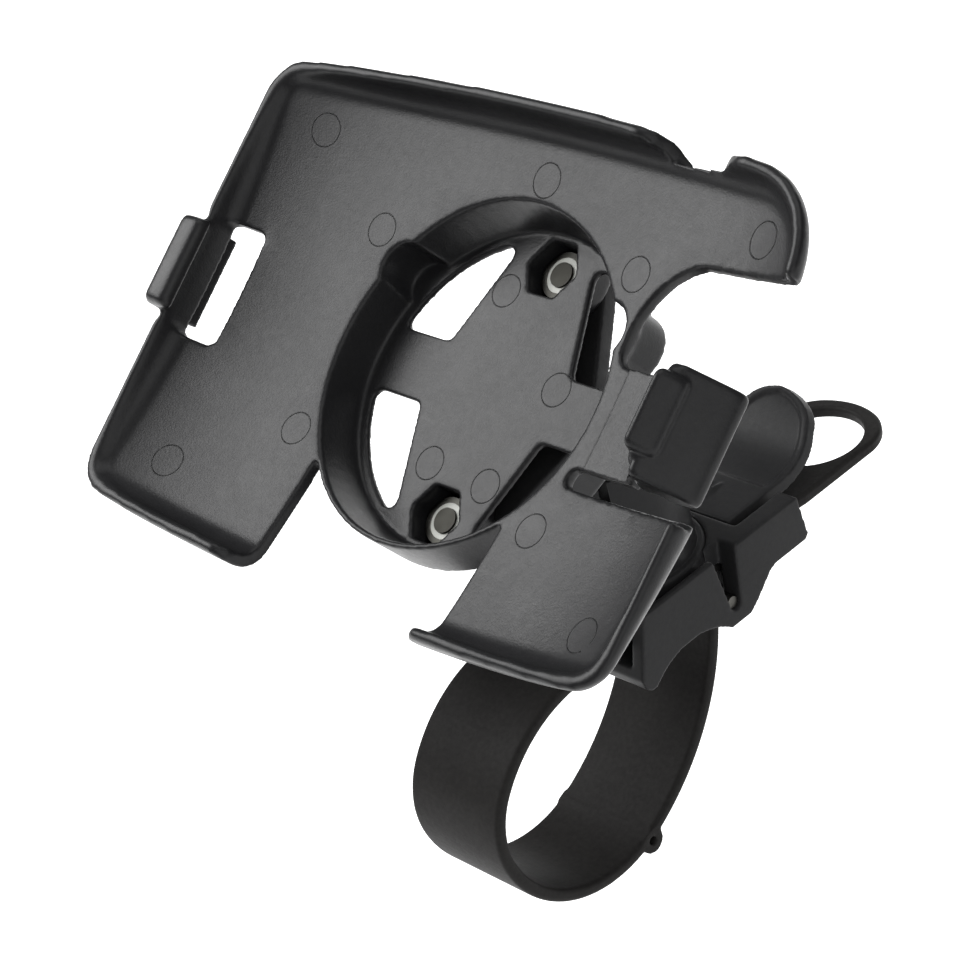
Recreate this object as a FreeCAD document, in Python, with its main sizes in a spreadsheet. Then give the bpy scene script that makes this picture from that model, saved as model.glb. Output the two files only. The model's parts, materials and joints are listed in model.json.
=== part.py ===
import FreeCAD, Part
import math
import os
import Sketcher

# Device cradle on a ball joint, held on a handlebar by a rubber strap.
#
# Frame: millimetres, +Z up.  The origin is the centre of the handlebar that the saddle sits on.
# X runs along the bar, Y points from the bar towards the strap's pull ring.
# The cradle is drawn in a frame of its own (u along its length, v up its face, w towards the
# device) with its origin at the centre of the round dish, level with the middle of its floor.

DIMENSIONS = {
    # saddle
    "seat_radius": 15.9,
    "saddle_width": 36.0,
    "saddle_top": 27.8,
    "saddle_left": -9.65,
    "saddle_right": 33.25,
    "saddle_heel_y": -13.3,
    "saddle_heel_z": 15.2,
    "saddle_toe_y": -12.7,
    "saddle_toe_z": 13.2,
    "toe_round": 1.9,
    "seat_left": -9.9,
    "seat_left_z": 12.442,
    "seat_right": 10.55,
    "saddle_chin_z": 11.896,
    "chin_rise": 2.0,
    "chin_run": 2.9,
    "chin_top_z": 17.2,
    "saddle_chin_y": 16.0,
    "saddle_step_y": 24.4,
    "saddle_step_z": 17.8,
    "saddle_nose_y": 34.25,
    "saddle_nose_z": 18.8,
    "recess_depth": 2.6,
    "recess_end": 10.2,
    "side_edge_round": 0.8,
    "chin_round": 1.0,
    "rim_wall": 1.6,
    "tunnel_width": 27.0,
    "tunnel_floor": 19.2,
    "tunnel_roof": 22.9,
    "window_width": 30.0,
    "window_sill": 17.2,
    "strap_exit_start": 8.3,
    "strap_exit_end": 16.9,
    "pin_y": 12.65,
    "pin_z": 16.2,
    "pin_radius": 1.25,
    "pin_recess": 0.9,
    "slot_top_width": 6.0,
    "slot_clearance": 0.1,
    # release paddle
    "paddle_width": 22.8,
    "paddle_thick": 2.8,
    "paddle_root": 20.6,
    "paddle_bend": 35.0,
    "paddle_curl": 19.2,
    "paddle_curl_angle": 66.0,
    "paddle_side_end": 38.0,
    "paddle_shoulder": 51.5,
    "paddle_shoulder_half": 9.3,
    "paddle_reach": 61.1,
    "paddle_side_bow": 45.0,
    "paddle_nose_round": 10.7,
    "paddle_border": 1.5,
    "paddle_dip": 0.35,
    "paddle_gap": 2.1,
    "root_gap": 0.25,
    "pawl_y": 27.5,
    "pawl_drop": 1.7,
    # strap
    "strap_width": 24.0,
    "strap_thick": 2.6,
    "tail_height": 21.05,
    "tail_start": -7.6,
    "eye_radius": 3.1,
    "bead_radius": 2.7,
    "bead_hole_radius": 0.9,
    "bead_y": -16.0,
    "bead_z": -23.2,
    "strap_edge_round": 0.8,
    "ring_width": 25.0,
    "ring_start": 37.0,
    "ring_side_end": 60.5,
    "ring_shoulder": 69.0,
    "ring_shoulder_half": 6.3,
    "ring_side_round": 10.0,
    "ring_end_round": 16.0,
    "ring_hole_y": 57.0,
    "ring_hole_radius": 10.2,
    # ball joint
    "ball_y": 4.75,
    "ball_z": 48.1,
    "ball_radius": 9.5,
    "cup_radius": 13.5,
    "cup_top_radius": 12.7,
    "cup_foot_radius": 14.9,
    "cup_foot_round": 0.6,
    "cup_core_radius": 8.0,
    "cup_mouth_low": 7.4,
    "cup_mouth_high": 11.0,
    "cup_mouth_lift": 0.9,
    "cup_mouth_depth": 3.6,
    "cup_rim_above_ball": 3.0,
    "cup_clearance": 0.15,
    "cup_slit": 1.8,
    "neck_radius": 4.0,
    "neck_flare_radius": 6.4,
    "neck_clearance": 0.15,
    "neck_depth": 4.0,
    "plate_tip_u": 18.31,
    "plate_tip_v": 40.06,
    "plate_side_round": 16.65,
    "plate_end_round": 6.55,
    "plate_thick": 4.0,
    "plate_back": 19.0,
    "bolt_spacing": 48.6,
    "bolt_radius": 2.4,
    "bolt_hole_radius": 2.6,
    "bolt_head_radius": 4.3,
    "bolt_head_height": 2.6,
    "nut_flats": 9.5,
    "nut_height": 3.2,
    "nut_top": 10.84,
    "nut_pocket_flats": 10.3,
    # cradle
    "cradle_tilt": 36.4,
    "dish_above_ball": 41.4,
    "tray_half_length": 69.8,
    "tray_half_height": 47.8,
    "tray_wall": 2.4,
    "side_bow": 800.0,
    "tray_corner": 7.6,
    "latch_corner": 17.7,
    "rim_height": 12.4,
    "bottom_round": 6.0,
    "floor_thick": 2.6,
    "floor_rise_half": 1.2,
    "floor_rise_end": 8.8,
    "floor_hollow": 205.0,
    "floor_blend": 4.5,
    "dish_radius": 32.2,
    "dish_floor_radius": 30.9,
    "dish_wall": 1.4,
    "dish_depth": 7.67,
    "dish_floor_thick": 1.5,
    "dish_boss_radius": 8.2,
    "bump_u": 25.9,
    "bump_v": 14.6,
    "bump_radius": 5.0,
    "slot_radius": 28.9,
    "slot_low_u": 15.9,
    "slot_low_v": 6.2,
    "slot_high_u": 9.6,
    "hook_window_u": 63.45,
    "hook_window_v": 0.6,
    "hook_window_width": 8.3,
    "hook_window_height": 23.6,
    "hook_height": 15.8,
    "hook_width": 18.4,
    "hook_notch": 1.1,
    "hook_reach": 4.2,
    "hook_thick": 2.3,
    "cut_left": 32.6,
    "cut_low": 9.2,
    "cut_high": 28.55,
    "cut_top_left": 44.1,
    "cut_round": 15.2,
    "cut_low_round": 2.8,
    "slit_start": 33.6,
    "slit_low": -13.3,
    "slit_high": -9.7,
    "gap_left": -24.0,
    "gap_right": 24.9,
    "shoulder_run": 3.2,
    "low_lip_end": -14.4,
    "top_notch_edge": 44.0,
    "top_wall_end": 25.0,
    "top_lip_start": 41.2,
    "finger_root": 37.0,
    "latch_low": -10.1,
    "latch_high": 9.1,
    "pad_left": 51.4,
    "pad_low": -9.0,
    "pad_high": 7.0,
    "pad_top": 12.8,
    "pad_low_round": 3.4,
    "pad_round": 0.9,
}


class Size:
    """A length with its value and the sheet expression that it comes from."""

    def __init__(self, value, text):
        self.value = float(value)
        self.text = text

    @staticmethod
    def of(thing):
        return thing if isinstance(thing, Size) else Size(thing, repr(float(thing)))

    def _join(self, other, sign, value):
        return Size(value, "(%s %s %s)" % (self.text, sign, Size.of(other).text))

    def __add__(self, other):
        return self._join(other, "+", self.value + Size.of(other).value)

    def __sub__(self, other):
        return self._join(other, "-", self.value - Size.of(other).value)

    def __mul__(self, other):
        return self._join(other, "*", self.value * Size.of(other).value)

    def __truediv__(self, other):
        return self._join(other, "/", self.value / Size.of(other).value)

    def __radd__(self, other):
        return Size.of(other) + self

    def __rsub__(self, other):
        return Size.of(other) - self

    def __rmul__(self, other):
        return Size.of(other) * self

    def __neg__(self):
        return Size(-self.value, "(-1 * %s)" % self.text)


class Dimensions:
    """Reads like an object: dim.seat_radius is the Size of that cell."""

    def __init__(self, sheet, values):
        for row, (name, value) in enumerate(values.items(), start=1):
            sheet.set("A%d" % row, name)
            sheet.set("B%d" % row, str(value))
            sheet.setAlias("B%d" % row, name)
            setattr(self, name, Size(value, "%s.%s" % (sheet.Name, name)))


doc = FreeCAD.newDocument("handlebar_cradle")
sheet = doc.addObject("Spreadsheet::Sheet", "Dims")
dim = Dimensions(sheet, DIMENSIONS)
doc.recompute()

TURN = {
    "z": FreeCAD.Rotation(),
    "x": FreeCAD.Rotation(FreeCAD.Vector(0, 1, 0), 90),
    "y": FreeCAD.Rotation(FreeCAD.Vector(1, 0, 0), -90),
}


def bind(thing, prop, size):
    """Set a property from a Size and tie it to the sheet."""
    size = Size.of(size)
    thing.setExpression(prop, size.text)


def put(thing, place, rotation=None):
    """Stand an object at a point whose coordinates may be Sizes."""
    x, y, z = (Size.of(value) for value in place)
    base = FreeCAD.Vector(x.value, y.value, z.value)
    thing.Placement = FreeCAD.Placement(base, rotation or FreeCAD.Rotation())
    for axis, size in zip("xyz", (x, y, z)):
        bind(thing, "Placement.Base." + axis, size)


def box(name, low, high):
    """A box from its low corner to its high corner."""
    thing = doc.addObject("Part::Box", name)
    for prop, start, end in zip(("Length", "Width", "Height"), low, high):
        bind(thing, prop, Size.of(end) - start)
    put(thing, low)
    return thing


def cylinder(name, radius, height, place, axis="z"):
    """A cylinder that starts at a point and runs along an axis."""
    thing = doc.addObject("Part::Cylinder", name)
    bind(thing, "Radius", radius)
    bind(thing, "Height", height)
    put(thing, place, TURN[axis])
    return thing


def cone(name, low_radius, high_radius, height, place):
    thing = doc.addObject("Part::Cone", name)
    bind(thing, "Radius1", low_radius)
    bind(thing, "Radius2", high_radius)
    bind(thing, "Height", height)
    put(thing, place)
    return thing


def sphere(name, radius, place):
    thing = doc.addObject("Part::Sphere", name)
    bind(thing, "Radius", radius)
    put(thing, place)
    return thing


def hexagon(name, flats, height, place):
    """A hexagonal prism with two flats across v."""
    thing = doc.addObject("Part::Prism", name)
    thing.Polygon = 6
    bind(thing, "Circumradius", Size.of(flats) * (1 / math.sqrt(3)))
    bind(thing, "Height", height)
    put(thing, place)
    return thing


def fuse(name, parts):
    thing = doc.addObject("Part::MultiFuse", name)
    thing.Shapes = parts
    thing.Refine = True
    return thing


def cut(name, base, tools):
    thing = doc.addObject("Part::Cut", name)
    thing.Base = base
    thing.Tool = tools[0] if len(tools) == 1 else fuse(name + "_tools", tools)
    thing.Refine = True
    return thing


def common(name, first, second):
    thing = doc.addObject("Part::Common", name)
    thing.Base = first
    thing.Tool = second
    return thing


def round_edges(name, base, radius, wanted):
    """Fillet the edges for which wanted(edge) is true."""
    doc.recompute()
    thing = doc.addObject("Part::Fillet", name)
    thing.Base = base
    picks = [i for i, edge in enumerate(base.Shape.Edges, start=1) if wanted(edge)]
    thing.Edges = [(i, radius, radius) for i in picks]
    return thing


def outline(name, plane, corners, bends=None):
    """A closed sketch.  Its corners are tied to the sheet; bends gives the radius of the
    edge that leaves a corner, positive where the edge bulges to the right of its way."""
    thing = doc.addObject("Sketcher::SketchObject", name)
    turn = {
        "xy": FreeCAD.Rotation(),
        "xz": FreeCAD.Rotation(FreeCAD.Vector(1, 0, 0), 90),
        "yz": FreeCAD.Rotation(FreeCAD.Vector(1, 1, 1), 120),
    }[plane]
    thing.Placement = FreeCAD.Placement(FreeCAD.Vector(), turn)
    corners = [(Size.of(x), Size.of(y)) for x, y in corners]
    spots = [FreeCAD.Vector(x.value, y.value, 0) for x, y in corners]
    bends = bends or {}
    arcs = {}
    for i, start in enumerate(spots):
        end = spots[(i + 1) % len(spots)]
        if i not in bends:
            thing.addGeometry(Part.LineSegment(start, end))
            continue
        radius = Size.of(bends[i])
        span = end - start
        half = span.Length / 2
        side = FreeCAD.Vector(span.y, -span.x, 0).normalize()
        if radius.value < 0:
            side = -side
        sag = abs(radius.value) - math.sqrt(radius.value ** 2 - half ** 2)
        arc = Part.Arc(start, start + span * 0.5 + side * sag, end)
        thing.addGeometry(arc)
        arcs[i] = radius
    for i in range(len(spots)):
        # An arc's stored start is the end that turns anticlockwise into the other.
        first = thing.getPoint(i, 1)
        start_is_first = (first - spots[i]).Length < 1e-6
        point = 1 if start_is_first else 2
        thing.addConstraint(Sketcher.Constraint("DistanceX", -1, 1, i, point, corners[i][0].value))
        thing.setExpression("Constraints[%d]" % (thing.ConstraintCount - 1), corners[i][0].text)
        thing.addConstraint(Sketcher.Constraint("DistanceY", -1, 1, i, point, corners[i][1].value))
        thing.setExpression("Constraints[%d]" % (thing.ConstraintCount - 1), corners[i][1].text)
        after = (i + 1) % len(spots)
        after_point = 1 if (thing.getPoint(after, 1) - spots[after]).Length < 1e-6 else 2
        thing.addConstraint(Sketcher.Constraint("Coincident", i, 3 - point, after, after_point))
    for i, radius in arcs.items():
        thing.addConstraint(Sketcher.Constraint("Radius", i, abs(radius.value)))
        size = radius if radius.value > 0 else -radius
        thing.setExpression("Constraints[%d]" % (thing.ConstraintCount - 1), size.text)
    return thing


def extrude(name, sketch, low, high):
    """Sweep a sketch along its own normal from low to high."""
    thing = doc.addObject("Part::Extrusion", name)
    thing.Base = sketch
    thing.DirMode = "Normal"
    thing.Solid = True
    bind(thing, "LengthFwd", high)
    bind(thing, "LengthRev", -Size.of(low))
    return thing


def finish(thing, label, placement=None):
    """Name a sub-part and stand it in the assembly."""
    thing.Label = label
    if placement is not None:
        thing.Placement = placement
    sub_parts.append(thing)
    return thing


sub_parts = []


def saddle():
    half = dim.saddle_width / 2
    side = outline("saddle_side", "yz", [
        (dim.saddle_left, dim.saddle_top),
        (dim.saddle_heel_y, dim.saddle_heel_z),
        (dim.saddle_toe_y, dim.saddle_toe_z),
        (dim.seat_left, dim.seat_left_z),
        (dim.seat_right, dim.saddle_chin_z),
        (dim.saddle_chin_y, dim.saddle_chin_z),
        (dim.saddle_chin_y + dim.chin_run, dim.saddle_chin_z + dim.chin_rise),
        (dim.saddle_step_y - 1.6, dim.chin_top_z),
        (dim.saddle_step_y, dim.saddle_step_z),
        (dim.saddle_nose_y - 1.1, dim.saddle_step_z),
        (dim.saddle_nose_y, dim.saddle_nose_z),
        (dim.saddle_right, dim.saddle_top),
    ], {2: dim.toe_round, 3: -dim.seat_radius})
    block = extrude("saddle_block", side, -half, half)
    inner = dim.tunnel_width / 2
    reach = 40.0
    recess = half - dim.rim_wall
    paddle_space = dim.paddle_width / 2 + dim.paddle_gap
    deck = dim.saddle_top - dim.recess_depth
    tools = [
        box("saddle_recess", (-recess, dim.saddle_left + 0.6, deck),
            (recess, dim.recess_end, dim.saddle_top + 1)),
        box("saddle_tunnel", (-inner, -reach, dim.tunnel_floor), (inner, reach, dim.tunnel_roof)),
        box("saddle_window", (-dim.window_width / 2, -reach, dim.window_sill),
            (dim.window_width / 2, -6.5, dim.tunnel_roof)),
        box("saddle_strap_exit", (-inner, dim.strap_exit_start, 0),
            (inner, dim.strap_exit_end, dim.tunnel_floor + 1)),
        box("saddle_open_nose", (-inner, dim.saddle_step_y - 2.0, 0),
            (inner, reach, dim.tunnel_floor + 1)),
        box("saddle_under_paddle", (-inner, dim.paddle_root, dim.tunnel_roof - 1),
            (inner, reach, dim.saddle_top - dim.paddle_thick - 0.2)),
        box("saddle_paddle_space", (-paddle_space, dim.paddle_root, dim.tunnel_roof),
            (paddle_space, reach, dim.saddle_top + 1)),
        cylinder("saddle_foot_seat", dim.cup_foot_radius + 0.02, 5, (0, dim.ball_y, deck)),
    ]
    for side_name, start in (("near", inner), ("far", -half - 1)):
        slot_foot = dim.pin_radius + dim.slot_clearance
        slot = outline("pin_slot_" + side_name, "yz", [
            (dim.pin_y - slot_foot, dim.pin_z),
            (dim.pin_y + slot_foot, dim.pin_z),
            (dim.pin_y + dim.slot_top_width / 2, dim.saddle_top + 1),
            (dim.pin_y - dim.slot_top_width / 2 - 0.3, dim.saddle_top + 1),
        ], {0: slot_foot + 0.001})
        tools.append(extrude("pin_slot_cut_" + side_name, slot, start, start + (half - inner) + 1))
    body = cut("saddle_cut", block, tools)
    ends = round_edges("saddle_ends", body, dim.side_edge_round.value,
                       lambda edge: runs_across(edge, half.value) and not at_chin(edge))
    rounded = round_edges("saddle", ends, dim.chin_round.value, at_chin)
    return finish(rounded, "saddle")


def runs_across(edge, half):
    """The outer edges that run the whole way along the saddle's width, but for the toe."""
    if edge.Length < half or edge.Curve.TypeId != "Part::GeomLine":
        return False
    start, end = (vertex.Point for vertex in edge.Vertexes)
    at_toe = start.z < dim.saddle_toe_z.value + 0.3 and start.y < dim.seat_right.value + 1
    return abs(abs(start.x - end.x) - 2 * half) < 0.01 and not at_toe


def at_chin(edge):
    """The two blunt edges below the pin, towards the pull ring."""
    if edge.Curve.TypeId != "Part::GeomLine" or edge.BoundBox.YLength > 0.01:
        return False
    y, z = edge.CenterOfMass.y, edge.CenterOfMass.z
    chin_y, chin_z = dim.saddle_chin_y.value, dim.saddle_chin_z.value
    return chin_y - 0.1 < y < chin_y + dim.chin_run.value + 0.1 and abs(z - chin_z) < 2.1


def socket_cup():
    """The cup that the ball snaps into, on a round foot."""
    deck = dim.saddle_top - dim.recess_depth
    rim = dim.ball_z + dim.cup_rim_above_ball
    place = (0, dim.ball_y, deck)
    foot = round_edges("cup_foot", cylinder("cup_disc", dim.cup_foot_radius, dim.recess_depth, place),
                       dim.cup_foot_round.value,
                       lambda edge: edge.BoundBox.ZMin > dim.saddle_top.value - 0.01)
    wall = cone("cup_wall", dim.cup_radius, dim.cup_top_radius, rim - deck, place)
    whole = fuse("cup_whole", [foot, wall])
    seat_radius = dim.ball_radius + dim.cup_clearance
    seat = sphere("cup_seat", seat_radius, (0, dim.ball_y, dim.ball_z))
    mouth = cone("cup_mouth", dim.cup_mouth_low, dim.cup_mouth_high, dim.cup_mouth_depth,
                 (0, dim.ball_y, dim.ball_z + dim.cup_mouth_lift))
    core = cylinder("cup_core", dim.cup_core_radius, 8.5, (0, dim.ball_y, deck))
    tools = [seat, mouth, core]
    more = math.sqrt(0.5) * (20 + dim.cup_slit / 2)
    less = math.sqrt(0.5) * (20 - dim.cup_slit / 2)
    for angle, x, back in ((45, -less, more), (135, more, less)):
        slit = doc.addObject("Part::Box", "cup_slit_%d" % angle)
        for prop, length in (("Length", 40), ("Width", dim.cup_slit), ("Height", 20)):
            bind(slit, prop, length)
        put(slit, (x, dim.ball_y - back, dim.ball_z - 5),
            FreeCAD.Rotation(FreeCAD.Vector(0, 0, 1), angle))
        tools.append(slit)
    return finish(cut("socket_cup", whole, tools), "socket_cup")


def anchor_pin():
    half = dim.saddle_width / 2 - dim.pin_recess
    pin = cylinder("anchor_pin", dim.pin_radius, half * 2, (-half, dim.pin_y, dim.pin_z), "x")
    return finish(pin, "anchor_pin")


def curl_point(offset):
    """The end of the paddle's curl, on a line that lies below its top by an offset."""
    angle = math.radians(dim.paddle_curl_angle.value)
    reach = dim.paddle_curl + offset
    return (dim.paddle_bend + reach * math.sin(angle),
            dim.saddle_top + dim.paddle_curl - reach * math.cos(angle))


def paddle_column(name, inset, start):
    """The paddle's rounded outline, swept at 45 degrees so that it meets the curl squarely."""
    half = dim.paddle_width / 2 - inset
    shoulder = dim.paddle_shoulder_half - inset
    plan = outline(name + "_plan", "xy", [
        (-half, start),
        (half, start),
        (half, dim.paddle_side_end),
        (shoulder, dim.paddle_shoulder),
        (0, dim.paddle_reach - inset),
        (-shoulder, dim.paddle_shoulder),
        (-half, dim.paddle_side_end),
    ], {2: dim.paddle_side_bow, 3: dim.paddle_nose_round, 4: dim.paddle_nose_round, 5: dim.paddle_side_bow})
    bind(plan, "Placement.Base.z", dim.saddle_top)
    column = doc.addObject("Part::Extrusion", name)
    column.Base = plan
    column.DirMode = "Custom"
    column.Dir = FreeCAD.Vector(0, -1, 1)
    column.Solid = True
    column.LengthFwd = 30
    column.LengthRev = 10
    return column


def release_paddle():
    """The tab over the strap's tail: flat, then curling up to a rounded tip with a raised border."""
    half = dim.paddle_width / 2
    top = dim.saddle_top
    low = top - dim.paddle_thick
    start = dim.paddle_root + dim.root_gap
    side = outline("paddle_side", "yz", [
        (start, top), (start, low), (dim.paddle_bend, low),
        curl_point(dim.paddle_thick), curl_point(0), (dim.paddle_bend, top),
    ], {2: dim.paddle_curl + dim.paddle_thick, 4: -dim.paddle_curl})
    slab = extrude("paddle_slab", side, -half, half)
    root = box("paddle_root_block", (-half, start, low), (half, dim.paddle_side_end, top))
    tongue = common("paddle_tongue", slab, fuse("paddle_shape", [
        root, paddle_column("paddle_column", 0, dim.paddle_bend - 6)]))
    above = outline("paddle_dip_side", "yz", [
        (dim.paddle_bend - 2, top - dim.paddle_dip), (dim.paddle_bend, top - dim.paddle_dip),
        curl_point(dim.paddle_dip), (dim.paddle_bend, top + dim.paddle_curl),
        (dim.paddle_bend - 2, top + dim.paddle_curl),
    ], {1: dim.paddle_curl + dim.paddle_dip})
    dip = common("paddle_dip", extrude("paddle_dip_block", above, -half, half),
                 paddle_column("paddle_dip_column", dim.paddle_border, dim.paddle_bend - 12))
    form = cut("paddle_form", tongue, [dip])
    parts = [form]
    for number, x in enumerate((-1.3, 0.9)):
        rib = outline("paddle_rib_side_%d" % number, "yz", [
            (dim.paddle_root + 2.2, top - 0.3),
            (dim.paddle_root + 9.8, top - 0.3),
            (dim.paddle_root + 9.8, top + 0.1),
            (dim.paddle_root + 7.0, top + 0.7),
        ])
        parts.append(extrude("paddle_rib_%d" % number, rib, x, x + 0.5))
    pawl = outline("paddle_pawl_side", "yz", [
        (dim.pawl_y - 1.6, low + 0.2),
        (dim.pawl_y - 1.4, low - dim.pawl_drop),
        (dim.pawl_y + 1.9, low + 0.2),
    ])
    parts.append(extrude("paddle_pawl", pawl, -9, 9))
    return finish(fuse("release_paddle", parts), "release_paddle")


# The strap's loose loop, from the eye round to the window: radius and turn of each bend.
STRAP_BENDS = ((48.7, 56.9), (23.9, 101.5), (17.2, 50.3), (28.4, 47.2))
STRAP_HEADING = -98.9
STRAP_RUN_IN = 17.1
STRAP_START_DROP = 1.2


def strap_walk(offset):
    """Edges of the loop's line, moved outwards by an offset, and its end point."""
    heading = math.radians(STRAP_HEADING)
    y, z = dim.pin_y.value, dim.pin_z.value - STRAP_START_DROP
    edges = []

    def spot(angle, centre, radius):
        reach = radius + offset
        return FreeCAD.Vector(0, centre[0] - reach * math.sin(angle),
                              centre[1] + reach * math.cos(angle))

    for radius, turn in STRAP_BENDS:
        centre = (y + radius * math.sin(heading), z - radius * math.cos(heading))
        after = heading - math.radians(turn)
        stops = [spot(angle, centre, radius) for angle in (heading, (heading + after) / 2, after)]
        edges.append(Part.Arc(*stops).toShape())
        heading = after
        y = centre[0] - radius * math.sin(heading)
        z = centre[1] + radius * math.cos(heading)
    last = stops[2]
    way = FreeCAD.Vector(0, math.cos(heading), math.sin(heading))
    edges.append(Part.makeLine(last, last + way * STRAP_RUN_IN))
    return edges, last + way * STRAP_RUN_IN


def band(name, width):
    """The strap's band.  A Part::Feature: no primitive fits its bends."""
    half = dim.strap_thick.value / 2
    outer, outer_end = strap_walk(half)
    inner, inner_end = strap_walk(-half)
    outer_start = outer[0].valueAt(outer[0].FirstParameter)
    inner_start = inner[0].valueAt(inner[0].FirstParameter)
    caps = [Part.makeLine(outer_end, inner_end), Part.makeLine(inner_start, outer_start)]
    wire = Part.Wire(Part.__sortEdges__(outer + inner + caps))
    solid = Part.Face(wire).extrude(FreeCAD.Vector(width, 0, 0))
    solid.translate(FreeCAD.Vector(-width / 2, 0, 0))
    thing = doc.addObject("Part::Feature", name)
    thing.Shape = solid
    return thing


def strap_loop():
    """The rubber band, its eye on the pin and a second bead part way round."""
    width = dim.strap_width
    loop = round_edges("strap_soft_band", band("strap_band", width.value), dim.strap_edge_round.value,
                       lambda edge: edge.BoundBox.XLength < 0.01 and edge.Length > 5)
    eye = cylinder("strap_eye", dim.eye_radius, width, (-width / 2, dim.pin_y, dim.pin_z), "x")
    bead = cylinder("strap_bead", dim.bead_radius, width, (-width / 2, dim.bead_y, dim.bead_z), "x")
    whole = fuse("strap_whole", [loop, eye, bead])
    start = -width / 2 - 1
    tools = [
        cylinder("strap_eye_bore", dim.pin_radius, width + 2, (start, dim.pin_y, dim.pin_z), "x"),
        cylinder("strap_bead_bore", dim.bead_hole_radius, width + 2, (start, dim.bead_y, dim.bead_z), "x"),
    ]
    return finish(cut("strap_loop", whole, tools), "strap_loop")


def strap_tail():
    """The strap's free end, from inside the saddle to the pull ring."""
    half = dim.strap_width / 2
    low = dim.tail_height - dim.strap_thick / 2
    high = dim.tail_height + dim.strap_thick / 2
    ring_half = dim.ring_width / 2
    shoulder = dim.ring_shoulder_half
    plan = outline("tail_plan", "xy", [
        (-half, dim.tail_start),
        (half, dim.tail_start),
        (half, dim.ring_start),
        (ring_half, dim.ring_start + 3.5),
        (ring_half, dim.ring_side_end),
        (shoulder, dim.ring_shoulder),
        (-shoulder, dim.ring_shoulder),
        (-ring_half, dim.ring_side_end),
        (-ring_half, dim.ring_start + 3.5),
        (-half, dim.ring_start),
    ], {4: dim.ring_side_round, 5: dim.ring_end_round, 6: dim.ring_side_round})
    hole = cylinder("ring_hole", dim.ring_hole_radius, 10, (0, dim.ring_hole_y, low - 2))
    slab = cut("tail_slab", extrude("tail_block", plan, low, high), [hole])
    strip = round_edges("tail_strip", slab, dim.strap_edge_round.value,
                        lambda edge: edge.BoundBox.ZLength < 0.01)
    teeth = []
    for number in range(4):
        foot = dim.pawl_y - 4.7 + 2.6 * number
        tooth = outline("tooth_side_%d" % number, "yz", [
            (foot, high - 0.2),
            (foot + 2.4, high - 0.2),
            (foot + 2.4, high + 0.6),
        ])
        teeth.append(extrude("tooth_%d" % number, tooth, -9, 9))
    return finish(fuse("strap_tail", [strip] + teeth), "strap_tail")


def cradle_frame():
    """Where the cradle's own frame stands: above the ball, tilted back about X."""
    turn = FreeCAD.Rotation(FreeCAD.Vector(1, 0, 0), dim.cradle_tilt.value)
    up = turn.multVec(FreeCAD.Vector(0, 0, dim.dish_above_ball.value))
    return FreeCAD.Placement(FreeCAD.Vector(0, dim.ball_y.value, dim.ball_z.value) + up, turn)


def ball():
    """The ball, bored for the plate's neck."""
    depth = dim.ball_radius - dim.neck_depth
    globe = sphere("ball_globe", dim.ball_radius, (0, 0, -dim.dish_above_ball))
    bore = cylinder("ball_bore", dim.neck_radius + dim.neck_clearance, 12,
                    (0, 0, -dim.dish_above_ball + depth))
    return finish(cut("ball", globe, [bore]), "ball", cradle_frame())


def ball_plate():
    """A diamond plate with the neck that carries it on the ball."""
    rhombus = outline("plate_rhombus", "xy", [
        (dim.plate_tip_u, 0), (0, dim.plate_tip_v), (-dim.plate_tip_u, 0), (0, -dim.plate_tip_v),
    ])
    low = -dim.plate_back
    top = low + dim.plate_thick
    slab = extrude("plate_slab", rhombus, low, top)
    sides = round_edges("plate_sides", slab, dim.plate_side_round.value,
                        lambda edge: upright(edge) and abs(edge.CenterOfMass.x) > 5)
    ends = round_edges("plate_ends", sides, dim.plate_end_round.value,
                       lambda edge: upright(edge) and abs(edge.CenterOfMass.y) > 30)
    start = -dim.dish_above_ball + dim.ball_radius - dim.neck_depth + 0.1
    neck = cylinder("plate_neck", dim.neck_radius, low - start + 0.5, (0, 0, start))
    flare = cone("plate_flare", dim.neck_radius, dim.neck_flare_radius, 5.0, (0, 0, low - 5.0))
    holes = [
        cylinder("plate_hole_%s" % end, dim.bolt_hole_radius, 12,
                 (0, side * dim.bolt_spacing / 2, low - 2))
        for end, side in (("upper", 1), ("lower", -1))
    ]
    whole = fuse("plate_whole", [ends, neck, flare])
    return finish(cut("ball_plate", whole, holes), "ball_plate", cradle_frame())


def upright(edge):
    if len(edge.Vertexes) < 2:
        return False
    start, end = (vertex.Point for vertex in edge.Vertexes)
    return math.hypot(start.x - end.x, start.y - end.y) < 0.01


def plate_screw(end, side):
    """A pan-head screw from behind the plate into the nut."""
    v = side * dim.bolt_spacing / 2
    low = -dim.plate_back
    face = low - dim.bolt_head_height
    tip = -dim.nut_top + 0.4
    shank = cylinder("shank_" + end, dim.bolt_radius, tip - low, (0, v, low))
    head = cylinder("head_" + end, dim.bolt_head_radius, dim.bolt_head_height, (0, v, face))
    dome = round_edges("dome_" + end, head, 1.4,
                       lambda edge: edge.BoundBox.ZMax < head.Shape.BoundBox.ZMin + 0.01)
    cross = [
        box("cross_%s_%d" % (end, number), low_corner, high_corner)
        for number, (low_corner, high_corner) in enumerate((
            ((-2.2, v - 0.5, face - 1), (2.2, v + 0.5, face + 1.3)),
            ((-0.5, v - 2.2, face - 1), (0.5, v + 2.2, face + 1.3)),
        ))
    ]
    whole = fuse("screw_whole_" + end, [shank, dome])
    return finish(cut("plate_screw_" + end, whole, cross), "plate_screw_" + end, cradle_frame())


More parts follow.
